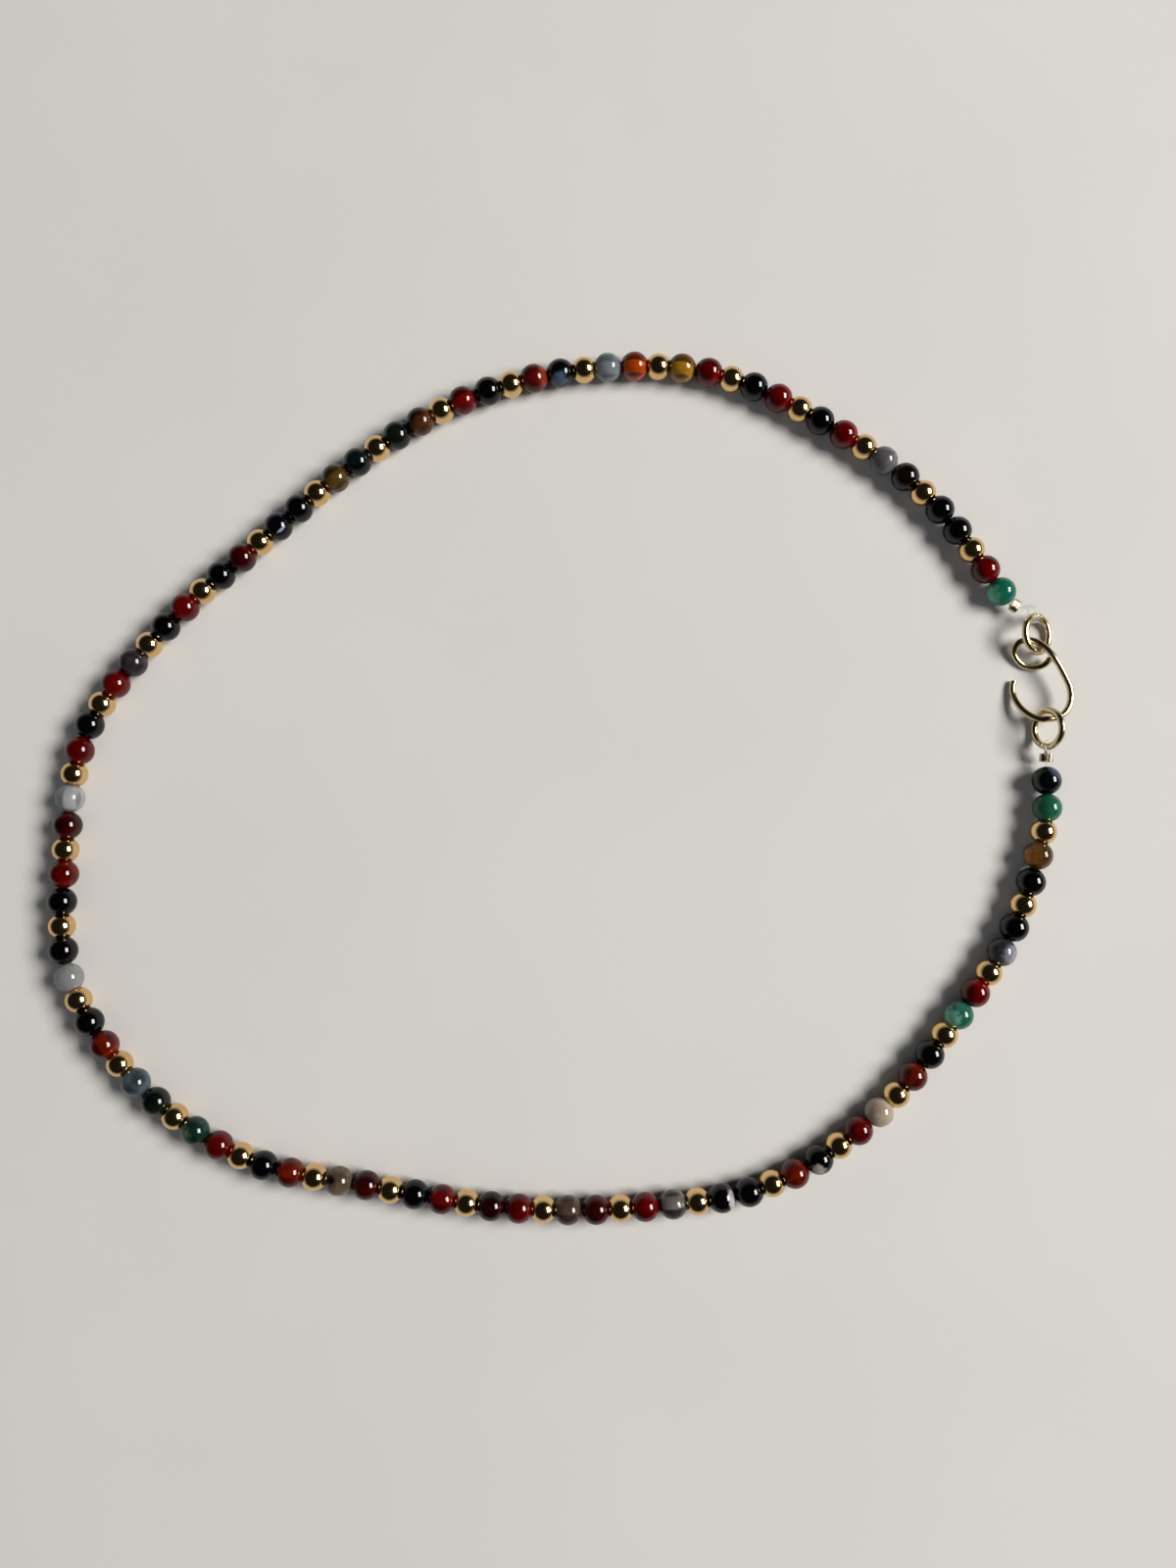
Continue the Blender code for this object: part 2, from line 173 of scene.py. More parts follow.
# Looks of agate. Deep and light are the two colours that a stone runs between. Band is how close
# together its bands lie, and lines is how strong they are. Cloud is how strong its soft clouds are.
# Core is how clearly the hole shows as a light stripe, which is painted brighter on the side that
# light
# comes through the stone: a painted glow. Glow is how far light travels in the stone, in millimetres.
# Moss is how much dark growth it has.
LOOKS = {
    # name: (deep, light, band, lines, cloud, core, glow, moss)
    "black": ((0.0004, 0.0004, 0.0006), (0.0015, 0.0015, 0.0022), 0.9, 0.2, 0.5, 0.0, 0.0, 0.0),
    "brown_black": ((0.0010, 0.0005, 0.0005), (0.0060, 0.0022, 0.0018), 0.8, 0.3, 0.8, 0.0, 0.0, 0.0),
    "green_black": ((0.0008, 0.0012, 0.0009), (0.0040, 0.0060, 0.0045), 0.8, 0.3, 0.9, 0.0, 0.0, 0.0),
    "teal_black": ((0.0005, 0.0014, 0.0017), (0.0020, 0.0065, 0.0080), 0.8, 0.3, 0.9, 0.0, 0.0, 0.0),
    "slate_black": ((0.0004, 0.0006, 0.0009), (0.0015, 0.0022, 0.0035), 0.8, 0.3, 0.8, 0.0, 0.0, 0.0),
    "deep_red": ((0.066, 0.0003, 0.0003), (0.145, 0.0010, 0.0008), 0.9, 0.2, 0.7, 0.1, 1.6, 0.0),
    "dark_red": ((0.034, 0.0003, 0.0004), (0.074, 0.0008, 0.0008), 0.9, 0.2, 0.7, 0.0, 1.4, 0.0),
    "red": ((0.066, 0.0004, 0.0004), (0.135, 0.0016, 0.0010), 0.9, 0.2, 0.7, 0.2, 1.8, 0.0),
    "bright_red": ((0.040, 0.0008, 0.0010), (0.150, 0.0020, 0.0020), 0.8, 0.2, 0.4, 0.9, 1.6, 0.0),
    "crimson": ((0.032, 0.0003, 0.0007), (0.066, 0.0009, 0.0015), 0.8, 0.2, 0.7, 0.1, 1.6, 0.0),
    "maroon": ((0.020, 0.0003, 0.0005), (0.052, 0.0010, 0.0012), 0.9, 0.2, 0.8, 0.0, 1.0, 0.0),
    "dark_maroon": ((0.012, 0.0004, 0.0005), (0.034, 0.0014, 0.0015), 0.9, 0.2, 0.8, 0.0, 0.6, 0.0),
    "orange_red": ((0.050, 0.0010, 0.0007), (0.150, 0.011, 0.0016), 0.9, 0.4, 0.6, 0.6, 1.8, 0.0),
    "red_brown": ((0.042, 0.0020, 0.0014), (0.120, 0.0050, 0.0020), 0.5, 0.4, 0.5, 0.7, 1.4, 0.0),
    "carnelian": ((0.070, 0.0070, 0.0015), (0.320, 0.060, 0.0020), 0.8, 0.2, 0.3, 1.0, 1.8, 0.0),
    "brown_amber": ((0.026, 0.0080, 0.0036), (0.100, 0.030, 0.0060), 0.7, 0.3, 0.5, 0.7, 1.6, 0.0),
    "amber": ((0.045, 0.026, 0.0070), (0.165, 0.085, 0.015), 0.6, 0.2, 0.6, 0.2, 2.0, 0.0),
    "olive_amber": ((0.068, 0.025, 0.0030), (0.300, 0.165, 0.016), 0.6, 0.2, 0.4, 0.9, 1.8, 0.0),
    "olive_grey": ((0.030, 0.0165, 0.0018), (0.112, 0.0720, 0.0120), 0.6, 0.2, 0.5, 0.7, 1.6, 0.0),
    "grey_blue": ((0.095, 0.091, 0.096), (0.180, 0.176, 0.182), 0.7, 0.1, 0.4, 0.2, 2.4, 0.0),
    "blue_grey": ((0.022, 0.021, 0.029), (0.105, 0.107, 0.124), 0.6, 0.2, 0.5, 0.0, 2.0, 0.0),
    "pale_banded": ((0.090, 0.110, 0.130), (0.220, 0.245, 0.260), 0.7, 0.15, 0.3, 0.6, 2.6, 0.0),
    "pale_blue": ((0.165, 0.171, 0.183), (0.300, 0.305, 0.315), 0.5, 0.1, 0.25, 0.9, 2.6, 0.0),
    "milky": ((0.190, 0.194, 0.200), (0.225, 0.228, 0.233), 0.5, 0.1, 0.3, 0.0, 3.0, 0.0),
    "milky_beige": ((0.280, 0.235, 0.180), (0.420, 0.380, 0.320), 0.5, 0.1, 0.5, 0.0, 3.0, 0.0),
    "slate": ((0.026, 0.0380, 0.0500), (0.088, 0.1150, 0.1350), 0.6, 0.3, 0.9, 0.1, 1.6, 0.0),
    "smoky": ((0.0120, 0.0070, 0.0100), (0.058, 0.0420, 0.0500), 0.7, 0.3, 0.7, 0.4, 1.6, 0.0),
    "grey_brown": ((0.038, 0.022, 0.017), (0.120, 0.080, 0.059), 0.6, 0.2, 0.4, 0.8, 1.8, 0.0),
    "grey_violet": ((0.024, 0.017, 0.020), (0.170, 0.155, 0.142), 0.6, 0.1, 0.3, 1.0, 1.6, 0.0),
    "moss_grey": ((0.085, 0.062, 0.042), (0.210, 0.160, 0.108), 0.6, 0.1, 0.4, 0.0, 2.2, 0.15),
    "moss_green": ((0.0006, 0.0080, 0.0060), (0.0060, 0.0400, 0.0280), 0.7, 0.3, 0.9, 0.0, 1.0, 0.3),
    "teal": ((0.0040, 0.110, 0.072), (0.016, 0.220, 0.155), 0.6, 0.1, 0.4, 0.1, 2.4, 0.0),
    "light_teal": ((0.014, 0.095, 0.066), (0.050, 0.200, 0.145), 0.6, 0.1, 0.4, 0.3, 2.8, 0.0),
    "emerald": ((0.010, 0.090, 0.052), (0.045, 0.190, 0.120), 0.6, 0.1, 0.4, 0.2, 2.4, 0.0),
}

# The light stripe that shows where the hole is, painted brighter towards one side as a painted glow:
# the way, in the scene, from a stone's middle to the side where light comes through it, where the
# painted glow is strongest, and as shares of the stone's radius, how far the stripe lies towards the
# inside of the loop, and from where to where its sides and its ends fade in
PAINTED_GLOW_WAY = Vector((-0.60, -0.72, 0.35)).normalized()
STRIPE_INWARD = 0.32
STRIPE_SIDE = (0.45, 0.33)
STRIPE_END = (0.82, 0.70)

MOSS_COLOUR = (0.010, 0.012, 0.006)
GOLD_COLOUR = (0.81, 0.55, 0.26)
WIRE_COLOUR = (0.70, 0.60, 0.40)
CRIMP_COLOUR = (0.56, 0.47, 0.38)

# Marks that single stones have: the stone's number, then the way from its middle to the mark, as a
# heading anticlockwise from +X and a height, both in degrees, the mark's reach as a share of the
# stone's diameter, how many times longer it is along the hole, and its colour
MARKS = {
    1: (200, 25, 0.34, 1.0, (0.14, 0.42, 0.28)),
    15: (265, 40, 0.30, 1.0, (0.040, 0.065, 0.105)),
    16: (0, 25, 0.40, 1.0, (0.200, 0.030, 0.012)),
    19: (170, 45, 0.24, 0.7, (0.002, 0.002, 0.002)),
    24: (323, 54, 0.055, 5.0, (0.170, 0.200, 0.280)),
    43: (190, 45, 0.34, 1.0, (0.090, 0.130, 0.090)),
    47: (150, 55, 0.16, 1.4, (0.004, 0.004, 0.004)),
    57: (350, 52, 0.48, 0.22, (0.300, 0.290, 0.290)),
    60: (255, 55, 0.24, 1.0, (0.240, 0.210, 0.180)),
    65: (190, 35, 0.36, 1.0, (0.200, 0.420, 0.330)),
    67: (335, 60, 0.34, 1.0, (0.200, 0.210, 0.240)),
    70: (185, 30, 0.34, 1.0, (0.320, 0.140, 0.020)),
    # Stone 72: blue-grey streaks at its upper right, with a painted sheen over them.
    72: (45, 40, 0.28, 1.0, (0.030, 0.045, 0.070)),
}
MARK_RAGGED = 3.0  # how ragged its edge is
MARK_EDGE = (1.25, 0.55)  # from where to where it fades in, as shares of its reach

# Mesh helpers


def mesh_object(name, points, faces, surface):
    """A smooth shaded object with this mesh and material."""
    mesh = bpy.data.meshes.new(name)
    mesh.from_pydata(points, [], faces)
    mesh.shade_smooth()
    mesh.materials.append(surface)
    made = bpy.data.objects.new(name, mesh)
    bpy.context.scene.collection.objects.link(made)
    return made


def ring_faces(count, sides, closed):
    """Four-sided faces between rings of points, each ring of this many sides."""
    faces = []
    for i in range(count if closed else count - 1):
        first, second = i * sides, (i + 1) % count * sides
        for j in range(sides):
            k = (j + 1) % sides
            faces.append((first + j, first + k, second + k, second + j))
    return faces


def turned(outline, sides):
    """Points and faces of a closed outline of (along, out) turned about X."""
    points = []
    for along, out in outline:
        for j in range(sides):
            angle = 2 * pi * j / sides
            points.append((along, out * cos(angle), out * sin(angle)))
    return points, ring_faces(len(outline), sides, closed=True)


END_ROUND = 0.12  # how far the rim of a wire's flat end is rounded, as a share of its radius


def tube(name, line, diameter, sides, surface):
    """A round wire along the line, with flat ends."""
    points = []
    side = UP
    radius = diameter / 2
    rim = radius * END_ROUND
    last = len(line) - 1
    rings = []
    for i, point in enumerate(line):
        along = (line[min(i + 1, last)] - line[max(i - 1, 0)]).normalized()
        side = (side - along * side.dot(along)).normalized()
        rings.append((point, along, side, radius))
    first_point, first_along, first_side, _ = rings[0]
    last_point, last_along, last_side, _ = rings[-1]
    start, finish = [], []
    for i in range(END_STEPS):
        angle = pi / 2 * i / END_STEPS
        inset = rim * (1 - sin(angle))
        shift = rim * (1 - cos(angle))
        start.append((first_point + first_along * shift, first_along, first_side, radius - inset))
        finish.append((last_point - last_along * shift, last_along, last_side, radius - inset))
    rings[0] = (first_point + first_along * rim, first_along, first_side, radius)
    rings[-1] = (last_point - last_along * rim, last_along, last_side, radius)
    rings = start + rings + finish[::-1]
    for point, along, side, size in rings:
        across = along.cross(side)
        for j in range(sides):
            angle = 2 * pi * j / sides
            points.append(point + size * (cos(angle) * side + sin(angle) * across))
    faces = ring_faces(len(rings), sides, closed=False)
    total = len(points)
    faces.append(tuple(reversed(range(sides))))
    faces.append(tuple(range(total - sides, total)))
    return mesh_object(name, points, faces, surface)


def heading(angle):
    """The level direction at this angle anticlockwise from +X."""
    return Vector((cos(angle), sin(angle), 0))


def smooth(points, steps):
    """A smooth line through every point, with this many steps from each to the next."""
    before, after = 2 * points[0] - points[1], 2 * points[-1] - points[-2]
    ends = [before, *points, after]
    line = []
    for a, b, c, d in zip(ends, ends[1:], ends[2:], ends[3:]):
        ab, bc, cd = (sqrt((q - p).length) for p, q in ((a, b), (b, c), (c, d)))
        leaving = c - b + bc * ((b - a) / ab - (c - a) / (ab + bc))
        arriving = c - b + bc * ((d - c) / cd - (d - b) / (bc + cd))
        for i in range(steps):
            t = i / steps
            bend = (3 * (c - b) - 2 * leaving - arriving) * t**2
            line.append(b + leaving * t + bend + (leaving + arriving - 2 * (c - b)) * t**3)
    return line + [points[-1]]


# Materials

POLISH_RELIEF = 0.00003  # how high the fine relief of a polished surface is
DRAWN_RELIEF = 0.00005


class Nodes:
    """A new material's nodes, with its Principled shader ready."""

    def __init__(self, name):
        self.material = bpy.data.materials.new(name)
        self.material.use_nodes = True
        self.tree = self.material.node_tree
        self.shader = self.tree.nodes["Principled BSDF"]

    def add(self, kind, inputs=(), **settings):
        """A new node, with these inputs set or linked."""
        node = self.tree.nodes.new(kind)
        for key, value in settings.items():
            setattr(node, key, value)
        for key, value in dict(inputs).items():
            self.put(node.inputs[key], value)
        return node

    def put(self, socket, value):
        """Links the socket to another one, or sets it to a plain value."""
        if isinstance(value, bpy.types.NodeSocket):
            self.tree.links.new(value, socket)
        else:
            socket.default_value = value

    def math(self, operation, *values):
        """What this operation makes of the values."""
        node = self.add("ShaderNodeMath", operation=operation)
        for socket, value in zip(node.inputs, values):
            self.put(socket, value)
        return node.outputs[0]

    def mix(self, share, first, second):
        """The blend of two colours, or of two sockets that give colours."""
        node = self.add("ShaderNodeMix", data_type="RGBA")
        self.put(node.inputs[0], share)
        self.put(node.inputs[6], first)
        self.put(node.inputs[7], second)
        return node.outputs[2]

    def span(self, value, low, high, to_low=0.0, to_high=1.0):
        """The value eased from low and high to another pair of limits."""
        inputs = {0: value, 1: low, 2: high, 3: to_low, 4: to_high}
        node = self.add("ShaderNodeMapRange", inputs, interpolation_type="SMOOTHSTEP")
        return node.outputs[0]

    def vector(self, operation, first, second):
        """What this vector operation makes of a socket and a plain vector."""
        node = self.add("ShaderNodeVectorMath", {0: first}, operation=operation)
        node.inputs[1].default_value = second
        return node.outputs["Value" if operation == "DOT_PRODUCT" else "Vector"]

    def noise(self, place, scale, detail=3.0, rough=0.5, bend=0.0):
        """Cloudy noise from about 0.3 to 0.7."""
        inputs = {"Vector": place, "Scale": scale, "Detail": detail}
        inputs |= {"Roughness": rough, "Distortion": bend}
        return self.add("ShaderNodeTexNoise", inputs).outputs[0]

    def place(self, size, turn=(0, 0, 0), shift=(0, 0, 0)):
        """Object space in units of this many metres, turned and shifted."""
        coordinates = self.add("ShaderNodeTexCoord").outputs["Object"]
        scale = (1 / size, 1 / size, 1 / size)
        inputs = {"Vector": coordinates, "Location": shift, "Rotation": turn, "Scale": scale}
        return self.add("ShaderNodeMapping", inputs).outputs[0]

    def finish(self, **values):
        """The material, once the shader has these values."""
        for key, value in values.items():
            self.put(self.shader.inputs[key.replace("_", " ").title().replace("Ior", "IOR")], value)
        return self.material

    def bump(self, height, strength, distance):
        """Fine relief, as high as this distance at full strength."""
        inputs = {"Height": height, "Strength": strength, "Distance": distance}
        self.put(self.shader.inputs["Normal"], self.add("ShaderNodeBump", inputs).outputs[0])


def with_hole_and_painted_glow(nodes, share, core, turn_back):
    """The share of the light colour, once the hole shows through the stone as a light stripe, with a
    painted glow: the stripe is painted brighter on the side that light comes through.
    """
    own = nodes.place(STONE_DIAMETER / 2)
    # Painted glow: the stripe is painted brighter towards the side of the stone that light comes
    # through.
    painted_glow = nodes.span(nodes.vector("DOT_PRODUCT", own, turn_back @ PAINTED_GLOW_WAY), -0.6, 0.6, 0.6, 1.0)
    parts = nodes.add("ShaderNodeSeparateXYZ", {0: own}).outputs
    inward = nodes.math("SUBTRACT", parts[1], STRIPE_INWARD)
    along, side, up = (nodes.math("ABSOLUTE", part) for part in (parts[0], inward, parts[2]))
    beside = nodes.span(nodes.math("MINIMUM", side, up), *STRIPE_SIDE)
    stripe = nodes.math("MULTIPLY", beside, nodes.span(along, *STRIPE_END, 0.0, core))
    stripe = nodes.math("MULTIPLY", stripe, painted_glow)
    return nodes.math("ADD", nodes.math("MULTIPLY", share, 1 - 0.6 * core), stripe)


def with_mark(nodes, colour, mark, fine, turn_back):
    """The stone's colour with this mark over it, whose edge the fine noise makes ragged."""
    way, height, reach, stretch, tint = mark
    way, height = radians(way), radians(height)
    towards = turn_back @ (cos(height) * heading(way) + sin(height) * UP)
    coordinates = nodes.add("ShaderNodeTexCoord").outputs["Object"]
    offset = nodes.vector("SUBTRACT", coordinates, towards * STONE_DIAMETER / 2)
    scale = 1 / (STONE_DIAMETER * reach)
    squeezed = nodes.vector("MULTIPLY", offset, (scale / stretch, scale, scale))
    length = nodes.add("ShaderNodeVectorMath", {0: squeezed}, operation="LENGTH").outputs["Value"]
    ragged = nodes.math("ADD", length, nodes.math("MULTIPLY", fine, MARK_RAGGED))
    return nodes.mix(nodes.span(ragged, *MARK_EDGE), colour, (*tint, 1))


def agate(name, look, number, turn_back):
    """One stone's own material. Its number turns and shifts the pattern, so no two are alike, and
    turn_back takes a way seen from above into the stone's own space."""
    deep, light, band, lines, cloud, core, glow, moss = LOOKS[look]
    nodes = Nodes(name)
    turn = (1.3 * number, 0.7 * number, 2.1 * number)
    shift = (3.7 * number, 5.1 * number, 1.9 * number)
    place = nodes.place(STONE_DIAMETER, turn, shift)
    clouds = nodes.span(nodes.noise(place, 1.3, 2.0, 0.45, 0.4), 0.36, 0.66, 0.0, cloud)
    inputs = {"Vector": place, "Scale": band, "Distortion": 2.6, "Detail": 2.0, "Detail Scale": 0.9}
    wave = nodes.add("ShaderNodeTexWave", inputs).outputs["Fac"]
    bands = nodes.span(wave, 0.45, 0.95, 0.0, lines)
    fine = nodes.span(nodes.noise(place, 7.0, 5.0, 0.6), 0.35, 0.75, -0.06, 0.10)
    share = nodes.math("ADD", nodes.math("MAXIMUM", clouds, bands), fine)
    if core:
        share = with_hole_and_painted_glow(nodes, share, core, turn_back)
    share = nodes.add("ShaderNodeClamp", {0: share}).outputs[0]
    colour = nodes.mix(share, (*deep, 1), (*light, 1))
    if moss:
        growth = nodes.noise(place, 2.6, 5.0, 0.62, 1.0)
        colour = nodes.mix(nodes.span(growth, 0.47, 0.40, 0.0, moss), colour, (*MOSS_COLOUR, 1))
    if number in MARKS:
        colour = with_mark(nodes, colour, MARKS[number], fine, turn_back)
    if glow:
        under = nodes.shader.inputs
        under["Subsurface Weight"].default_value = 1.0
        under["Subsurface Radius"].default_value = [max(0.06, part) ** 0.5 for part in light]
        under["Subsurface Scale"].default_value = glow * MM
        under["Subsurface Anisotropy"].default_value = 0.6
    nodes.bump(nodes.noise(place, 6.0, 2.0), 0.05, POLISH_RELIEF)
    polish = nodes.span(nodes.noise(place, 5.0, 3.0), 0.3, 0.7, 0.04, 0.10)
    return nodes.finish(base_color=colour, roughness=polish, ior=1.42)


def shaded(colour, red, green, blue):
    """The colour with each of its parts taken down to this share."""
    return (colour[0] * red, colour[1] * green, colour[2] * blue, 1)


def gold_bead_material():
    """Polished gold, with a faint haze and fine rubbing marks."""
    nodes = Nodes("gold_bead_look")
    place = nodes.place(MM)
    haze = nodes.span(nodes.noise(place, 0.9, 4.0, 0.6), 0.3, 0.7)
    rubbing = nodes.noise(place, 3.0, 5.0, 0.65)
    nodes.bump(nodes.noise(place, 7.0, 3.0), 0.06, POLISH_RELIEF)
    return nodes.finish(
        base_color=nodes.mix(haze, (*GOLD_COLOUR, 1), shaded(GOLD_COLOUR, 0.93, 0.88, 0.78)),
        metallic=1.0,
        roughness=nodes.span(rubbing, 0.3, 0.75, 0.08, 0.16),
    )


def wire_material(name, colour):
    """Drawn gold metal, with a soft haze in its colour and its polish."""
    nodes = Nodes(name)
    place = nodes.place(MM)
    haze = nodes.noise(place, 1.6, 5.0, 0.6)
    nodes.bump(nodes.noise(place, 5.0, 4.0, 0.6), 0.10, DRAWN_RELIEF)
    shade = nodes.span(haze, 0.35, 0.65)
    return nodes.finish(
        base_color=nodes.mix(shade, (*colour, 1), shaded(colour, 0.92, 0.84, 0.66)),
        metallic=1.0,
        roughness=nodes.span(haze, 0.3, 0.7, 0.14, 0.26),
    )


def clear_line_material():
    """Clear line, a little rubbed."""
    nodes = Nodes("clear_line_look")
    place = nodes.place(MM)
    return nodes.finish(
        base_color=(0.97, 0.98, 0.98, 1),
        roughness=nodes.span(nodes.noise(place, 2.0), 0.3, 0.7, 0.04, 0.10),
        transmission_weight=0.92,
        ior=1.42,
    )


GOLD = gold_bead_material()
WIRE = wire_material("gold_wire_look", WIRE_COLOUR)
CRIMP = wire_material("crimp_look", CRIMP_COLOUR)
CLEAR = clear_line_material()

# Beads

BEAD_STRINGS = ("bead_string_upper", "bead_string_lower")
ON_SURFACE = 0.00001  # how near to z = 0 a corner counts as on the surface
FOOT_REACH = 0.42 * STONE_DIAMETER  # how far apart two corners of one stone's flat side can be


def arc(radius, low, high, steps):
    """Points of a bead's round outside, between two angles from the hole's own axis."""
    angles = [low + (high - low) * i / steps for i in range(steps + 1)]
    return [(-radius * cos(a), radius * sin(a)) for a in angles]


def stone_outline():
    """Round outside, a small flat round each end of the hole, a rubbed edge, and the hole."""
    radius, hole, flat = STONE_DIAMETER / 2, STONE_HOLE / 2, STONE_FLAT / 2
    end = sqrt(radius**2 - flat**2)
    start_angle = 1.08 * flat / radius
    right = [
        (end, 0.97 * flat),
        (end - 0.2 * STONE_LIP, hole + STONE_LIP),
        (end - STONE_LIP, hole + 0.3 * STONE_LIP),
        (end - 3 * STONE_LIP, hole),
        (end / 2, hole),
    ]
    left = [(-along, out) for along, out in reversed(right)]
    return arc(radius, start_angle, pi - start_angle, BEAD_STEPS) + right + left


def gold_outline():
    """A hollow ball with a rolled rim at each mouth."""
    radius, mouth = GOLD_DIAMETER / 2, GOLD_MOUTH / 2
    end = sqrt(radius**2 - mouth**2)
    start_angle = 1.02 * mouth / radius
    outside = arc(radius, start_angle, pi - start_angle, BEAD_STEPS)
    inside = arc(radius - GOLD_WALL, start_angle, pi - start_angle, BEAD_INNER_STEPS)
    right = [(end, 0.985 * mouth), (end - 0.6 * GOLD_WALL, 0.96 * mouth)]
    left = [(-along, out) for along, out in reversed(right)]
    return outside + right + inside[::-1] + left


def stone_middles():
    """The middle of each stone, in order from the upper crimp. Each stone of the CAD string
    stands on one flat side, and the corners of that side are the model's only ones at z = 0."""
    corners = set()
    for node in BEAD_STRINGS:
        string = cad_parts[node]
        for vertex in string.data.vertices:
            corner = string.matrix_world @ vertex.co
            if abs(corner.z) < ON_SURFACE:
                corners.add((round(corner.x, 6), round(corner.y, 6), 0))
    feet = []
    for corner in map(Vector, sorted(corners)):
        near = [foot for foot in feet if (foot[0] - corner).length < FOOT_REACH]
        if near:
            near[0].append(corner)
        else:
            feet.append([corner])
    loose = [sum(foot, Vector()) / len(foot) for foot in feet]
    low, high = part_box("crimp_upper")
    here = (Vector(low) + Vector(high)) / 2
    here.z = 0
    order = []
    while loose:
        here = min(loose, key=lambda foot: (foot - here).length)
        loose.remove(here)
        order.append(here + UP * STONE_DIAMETER / 2)
    return order


def beads_in_order():
    """Each bead's look and middle. A gold bead lies on the curve through the four stones that are
    nearest to it."""
    middles = stone_middles()
    looks = STONES.replace(",", " ").split()
    beads = []
    for i, (middle, look) in enumerate(zip(middles, looks)):
        beads.append((look, middle))
        if i % 2 and i + 1 < len(middles):
            pair = middle + middles[i + 1]
            beads.append(("gold", pair / 2 + (pair - middles[i + 2] - middles[i - 1]) / 16))
    return beads


def bead_pose(middle, along):
    """Where a bead lies, with its hole along the string."""
    side = UP.cross(along).normalized()
    turn = Matrix((along, side, along.cross(side))).transposed()
    return Matrix.Translation(middle) @ turn.to_4x4()


beads = beads_in_order()
stone_points, stone_faces = turned(stone_outline(), BEAD_SIDES)
gold_points, gold_faces = turned(gold_outline(), BEAD_SIDES)
all_gold_points, all_gold_faces = [], []
number = 0
for i, (look, middle) in enumerate(beads):
    along = (beads[min(i + 1, len(beads) - 1)][1] - beads[max(i - 1, 0)][1]).normalized()
    pose = bead_pose(middle, along)
    if look == "gold":
        first = len(all_gold_points)
        all_gold_points += [pose @ Vector(point) for point in gold_points]
        all_gold_faces += [tuple(first + k for k in face) for face in gold_faces]
        continue
    number += 1
    name = f"stone_{number:02d}"
    surface = agate(f"{name}_{look}", look, number, pose.to_3x3().inverted())
    stone = mesh_object(name, stone_points, stone_faces, surface)
    stone.matrix_world = pose
    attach(stone, "root")
    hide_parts("bead_string_upper" if number <= UPPER_STONES else "bead_string_lower")
gold_beads = mesh_object("gold_beads", all_gold_points, all_gold_faces, GOLD)
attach(gold_beads, "root")
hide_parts("bead_string_upper", "bead_string_lower")

# Hook, jump rings, crimps and line, worked out as the CAD model does and then moved onto it


def ring_middle(diameter, tip):
    """How high the middle of a jump ring is, with its lowest point on the surface."""
    return (diameter - RING_WIRE) / 2 * sin(tip) + RING_WIRE / 2


upper_middle = ring_middle(UPPER_RING_DIAMETER, UPPER_RING_TIP)
lower_middle = ring_middle(LOWER_RING_DIAMETER, LOWER_RING_TIP)
hook_points, seats = [], {}
for across, down, lift, hangs in HOOK_BENDS:
    level = upper_middle + (lower_middle - upper_middle) * down
    place = (HOOK_TOP.x + across * HOOK_WIDTH, HOOK_TOP.y - down * HOOK_LENGTH)
    point = Vector((*place, HOOK_WIRE / 2 + lift * (level - HOOK_WIRE / 2)))
    hook_points.append(point)
    if hangs:
        seats[hangs] = point
hook_line = smooth(hook_points, BEND_STEPS)


def middle_of(points):
    """The middle of the points' box."""
    lows = [min(p[i] for p in points) for i in range(3)]
    highs = [max(p[i] for p in points) for i in range(3)]
    return (Vector(lows) + Vector(highs)) / 2


ONTO_HOOK = middle_of([Vector(corner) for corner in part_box("hook")]) - middle_of(hook_line)
ONTO_HOOK.z = 0


def wire_piece(name, line, diameter, surface, sides=WIRE_SIDES):
    """A piece of wire that takes the place of the node with its name."""
    made = tube(name, [point + ONTO_HOOK for point in line], diameter, sides, surface)
    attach(made, "root")
    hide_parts(name.removesuffix("_wire"))


wire_piece("hook_wire", hook_line, HOOK_WIRE, WIRE)


def jump_ring(name, diameter, tip, play, seat, way, level, turn):
    """A cut ring. Returns where the line holds it, the way out from its middle there, and the
    direction square to its plane."""
    radius = (diameter - RING_WIRE) / 2
    out, side = heading(way), heading(way + pi / 2)
    across = cos(tip) * side + sin(tip) * UP
    centre = seat + out * (radius - (RING_WIRE + HOOK_WIRE) / 2 - play)
    centre.z = level
    half_cut = RING_CUT / (2 * radius)
    start = turn - CUT_FROM_LINE + half_cut
    whole = 2 * pi - 2 * half_cut
    angles = [start + whole * i / RING_STEPS for i in range(RING_STEPS + 1)]
    line = [centre + radius * (cos(a) * out + sin(a) * across) for a in angles]
    wire_piece(name, line, RING_WIRE, WIRE)
    held = cos(turn) * out + sin(turn) * across
    return centre + radius * held, held, out.cross(across)


upper_hold = jump_ring(
    "ring_upper_wire", UPPER_RING_DIAMETER, UPPER_RING_TIP, UPPER_RING_PLAY,
    seats["upper ring"], UPPER_RING_HEADING, upper_middle, UPPER_LINE_TURN,
)
lower_hold = jump_ring(
    "ring_lower_wire", LOWER_RING_DIAMETER, LOWER_RING_TIP, LOWER_RING_PLAY,
    seats["lower ring"], LOWER_RING_HEADING, lower_middle, LOWER_LINE_TURN,
)


def stadium(width, thickness):
    """Offsets of a flattened round outline."""
    radius = thickness / 2
    shift = width / 2 - radius
    found = []
    for i in range(CRIMP_CORNERS):
        angle = 2 * pi * (i + 0.5) / CRIMP_CORNERS
        push = shift if cos(angle) > 0 else -shift
        found.append((radius * cos(angle) + push, radius * sin(angle)))
    return found


